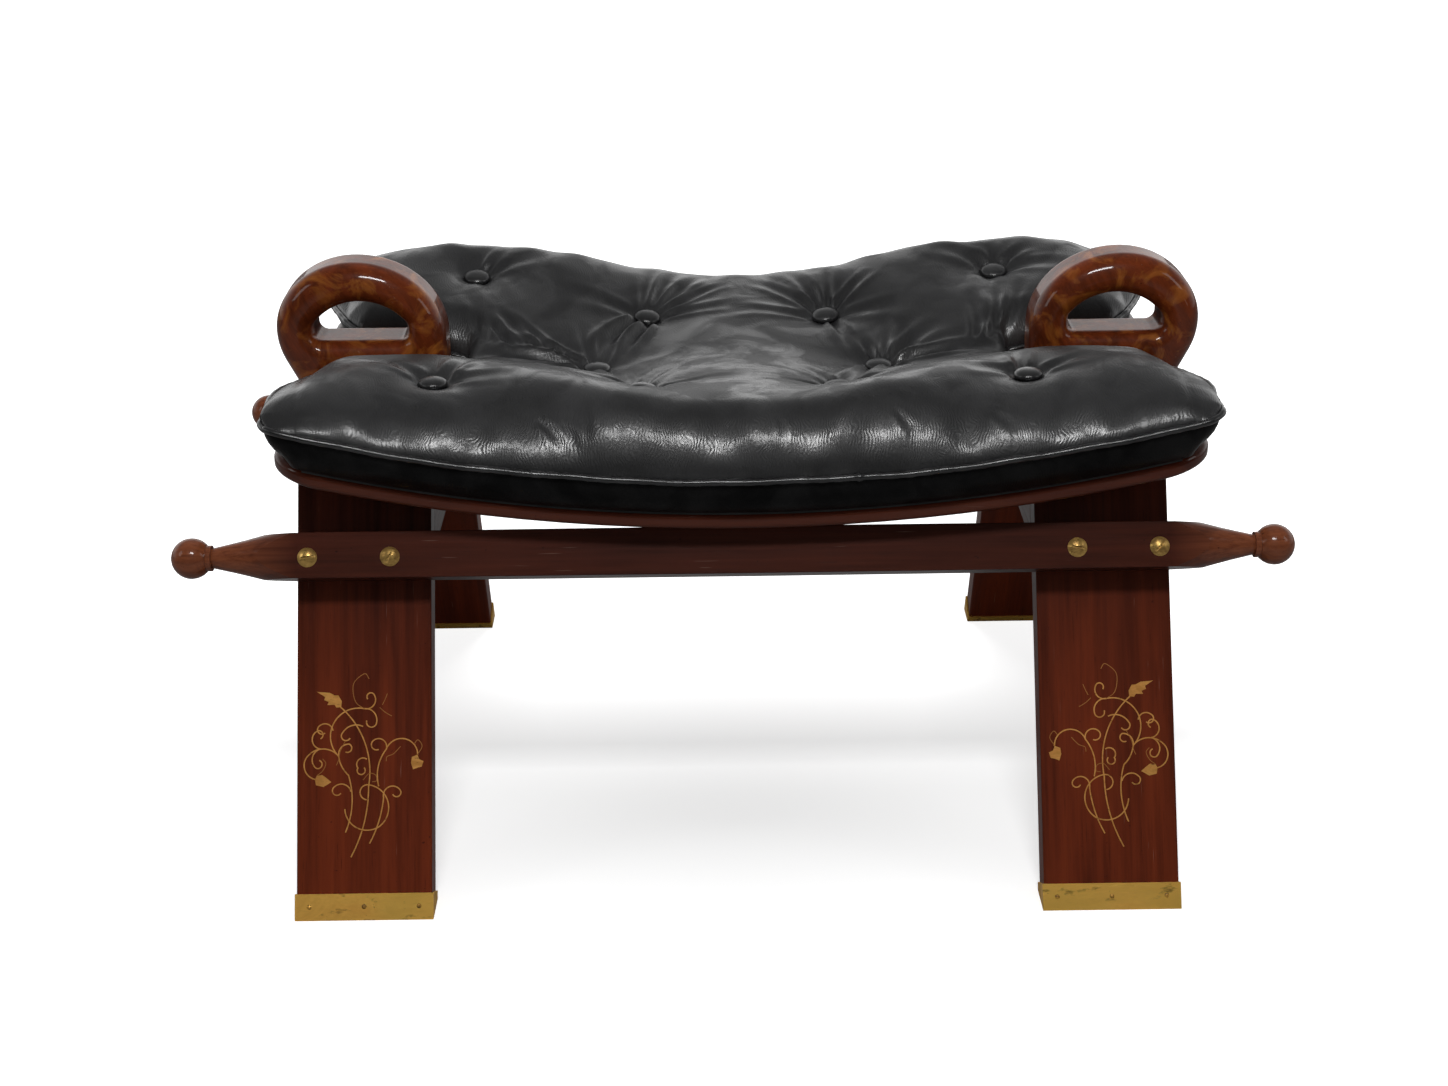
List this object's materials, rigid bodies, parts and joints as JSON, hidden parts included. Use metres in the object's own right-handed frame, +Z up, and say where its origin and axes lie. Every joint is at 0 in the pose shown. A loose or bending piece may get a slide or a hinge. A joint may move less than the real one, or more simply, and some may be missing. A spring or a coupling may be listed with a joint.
{
  "type": "camel saddle stool",
  "caption": "Low saddle stool: splayed brass-shod plank legs, turned side rails, loop handles and a tufted leather cushion on a curved seat board.",
  "frame": {"origin": "on the floor under the middle of the stool", "axes": "+X along the side rails, +Y from the front rail to the rear rail, +Z up"},
  "size_m": [0.7, 0.4648, 0.359],
  "materials": {
    "aged_brass": "aged, worn sheet",
    "base_cloth": "plain woven black",
    "black_leather": "glossy black, fine grain",
    "board_wood": "dark stained plywood, satin",
    "handle_wood": "red-brown stained hardwood, gloss varnish",
    "inlay_brass": "dull, rubbed flush",
    "leg_wood": "dark red-brown stained hardwood, satin varnish",
    "pale_wood": "bare beech",
    "rail_wood": "dark brown stained hardwood, satin varnish",
    "screw_brass": "aged, turned",
    "steel": "plain"
  },
  "bodies": {
    "frame": {"board_screws_left": "steel", "board_screws_right": "steel", "handle_left": "handle_wood", "handle_peg_left": "pale_wood", "handle_peg_right": "pale_wood", "handle_right": "handle_wood", "head_block_left": "leg_wood", "head_block_right": "leg_wood", "leg_dowels_left": "pale_wood", "leg_dowels_right": "pale_wood", "leg_front_left": "leg_wood", "leg_front_right": "leg_wood", "leg_rear_left": "leg_wood", "leg_rear_right": "leg_wood", "rail_screws_front": "screw_brass", "rail_screws_rear": "screw_brass", "seat_board": "board_wood", "shoe_front_left": "aged_brass", "shoe_front_right": "aged_brass", "shoe_pins_front_left": "aged_brass", "shoe_pins_front_right": "aged_brass", "shoe_pins_rear_left": "aged_brass", "shoe_pins_rear_right": "aged_brass", "shoe_rear_left": "aged_brass", "shoe_rear_right": "aged_brass", "side_rail_front": "rail_wood", "side_rail_rear": "rail_wood", "vine_inlay_front_left": "inlay_brass", "vine_inlay_front_right": "inlay_brass", "vine_inlay_rear_left": "inlay_brass", "vine_inlay_rear_right": "inlay_brass"},
    "cushion": {"cushion_base": "base_cloth", "cushion_buttons": "black_leather", "cushion_pad": "black_leather", "cushion_piping": "black_leather"}
  },
  "joints": [
    {"name": "cushion_lift", "type": "slide", "parent": "frame", "child": "cushion", "axis": [0, 0, 1], "range_m": [0, 0.125]}
  ]
}
